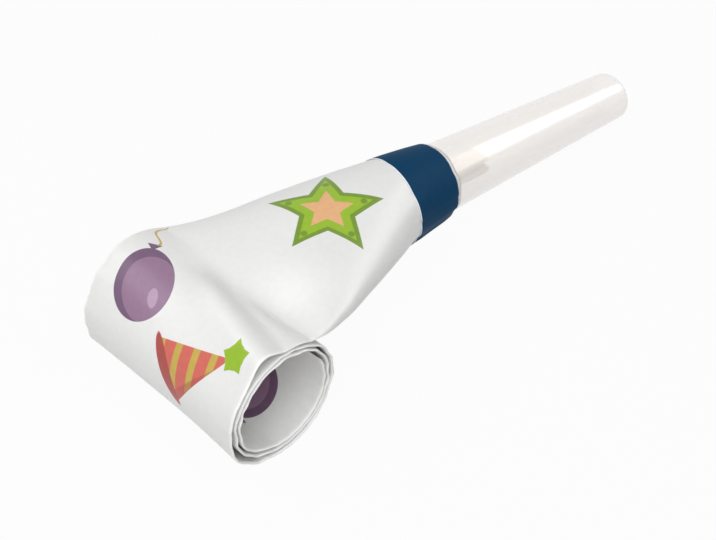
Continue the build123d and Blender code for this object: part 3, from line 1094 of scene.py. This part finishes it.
def mouthRing(x, radius, around, outside):
    share = np.clip(x / mouth["length"], 0, 1)
    flat = 0.5 * (mouth["lipWide"] - mouth["lipHigh"]) / mouth["ovalRadius"] * share ** 2 if outside else 0.0
    y = -np.cos(around) * radius * (1 + flat)
    z = np.sin(around) * radius * (1 - flat)
    return np.stack([np.full_like(around, x), y, z], axis=1)


def mouthProfile():  # along, radius, outside: from the tail over the lips and back through the bore
    tail, length, bore, inlet = (mouth[key] for key in ("tail", "length", "bore", "inlet"))
    wide, chamfer = mouth["tailRadius"], mouth["chamfer"]
    profile = [(tail, bore, False), (tail, wide - chamfer, True), (tail + chamfer, wide, True)]
    r = mouth["lipRound"]
    profile += [(x, mouthTaper(x), True) for x in np.linspace(mouth["taperFrom"], length - r, mouth["taperRows"])]
    for bend in np.linspace(0, math.pi / 2, mouth["lipRows"])[1:]:
        profile.append((length - r + r * math.sin(bend), mouthTaper(length - r) - r + r * math.cos(bend), True))
    r = mouth["innerRound"]
    for bend in np.linspace(0, math.pi / 2, mouth["innerRows"]):
        profile.append((length - r + r * math.cos(bend), inlet + r - r * math.sin(bend), False))
    profile += [(x, inlet, False) for x in np.linspace(mouth["inletEnd"], mouth["inletStart"], mouth["inletRows"])]
    for x in np.linspace(mouth["boreEnd"], 0, mouth["boreRows"]):
        profile.append((x, inlet + (bore - inlet) * (1 - x / mouth["inletStart"]), False))
    return profile + [(tail, bore, False)]


def mouthMesh():
    around = np.arange(mouth["columns"]) / mouth["columns"] * tau
    profile = mouthProfile()
    rings = [mouthRing(x, radius, around, outside) for x, radius, outside in profile]
    sheets = [[(0.0, 0.0)] * (mouth["columns"] + 1)] * len(rings)
    shell = loftMesh("mouth", rings, sheets)
    inner = [0 if outside else 1 for x, radius, outside in profile[1:]]
    shell.polygons.foreach_set("material_index", np.repeat(inner, mouth["columns"]))
    return joinMeshes("mouthpieceShell", [shell], mouth["weld"], closed=True)


mouthpieceShell = addObject("mouthpieceShell", mouthMesh())
mouthpieceShell.data.materials.append(mouthPlastic)
mouthpieceShell.data.materials.append(mouthInside)
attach(mouthpieceShell, "horn")
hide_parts("mouthpiece")
reedLooks = {"reed_block": reedPlastic, "reed_wedge": reedPlastic, "reed_tongue": reedFilm, "reed_root": reedFilm}
for node, material in reedLooks.items():
    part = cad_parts[node]
    part.data.materials.clear()
    part.data.materials.append(material)
print("mouthpiece and reed dressed")

# floor, light and world
studio = {
    "floor": (0.6, 0.6, 0.6, 1),
    "floorGlow": 0.95,  # how white the floor is seen, the rest is shadow
    "floorHalf": 3.0,
    "world": 0.31,
    "aim": (0, 0, 0.01),
}


def seenDirectly(tree):  # camera, mirror and see-through rays
    path = addNode(tree, "ShaderNodeLightPath")
    either = calc(tree, "MAXIMUM", path.outputs["Is Camera Ray"], path.outputs["Is Glossy Ray"])
    return calc(tree, "MAXIMUM", either, path.outputs["Is Transmission Ray"])


def mixShaders(tree, mask, under, over, output):
    mix = addNode(tree, "ShaderNodeMixShader")
    for socket, value in zip(mix.inputs, (mask, under.outputs[0], over.outputs[0])):
        feed(tree, socket, value)
    feed(tree, tree.nodes[output].inputs["Surface"], mix.outputs[0])


floorMaterial, floorTree, floorShader = newMaterial("paleFloor", Base_Color=studio["floor"], Roughness=0.9)
glow = addNode(floorTree, "ShaderNodeEmission")
glow.inputs["Strength"].default_value = 1.0
floorMask = times(floorTree, seenDirectly(floorTree), studio["floorGlow"])
mixShaders(floorTree, floorMask, floorShader, glow, "Material Output")
half = studio["floorHalf"]
floorMesh = bpy.data.meshes.new("floor")
floorMesh.from_pydata([(-half, -half, 0), (half, -half, 0), (half, half, 0), (-half, half, 0)], [], [(0, 1, 2, 3)])
floorMesh.materials.append(floorMaterial)
floor = addObject("floor", floorMesh)

world = bpy.data.worlds.new("studio")
world.use_nodes = True
scene.world = world
worldTree = world.node_tree
dim = worldTree.nodes["Background"]
white = addNode(worldTree, "ShaderNodeBackground")
for shade, strength in ((dim, studio["world"]), (white, 1.0)):
    shade.inputs["Color"].default_value = (1, 1, 1, 1)
    shade.inputs["Strength"].default_value = strength
mixShaders(worldTree, seenDirectly(worldTree), dim, white, "World Output")

lamps = (  # name, place, watts, size across, size along, lights matt surfaces too
    ("keySoftbox", (-0.30, 0.22, 0.48), 1.05, 0.42, 0.42, True),
    ("nearSoftbox", (-0.40, -0.28, 0.36), 1.2, 0.40, 0.40, True),
    ("topSoftbox", (0.0, -0.19, 0.57), 1.0, 0.40, 0.40, True),
    ("bandSoftbox", (0.397, -0.184, 0.299), 1.5, 0.41, 0.30, False),  # only for the gleam on the mouthpiece
)
for name, place, watts, wide, long, matt in lamps:
    lamp = bpy.data.lights.new(name, "AREA")
    lamp.shape = "RECTANGLE"
    lamp.energy, lamp.size, lamp.size_y = watts, wide, long
    holder = addObject(name, lamp)
    holder.location = place
    holder.rotation_euler = (Vector(studio["aim"]) - Vector(place)).to_track_quat("-Z", "Y").to_euler()
    holder.visible_diffuse = matt
print("studio lit")
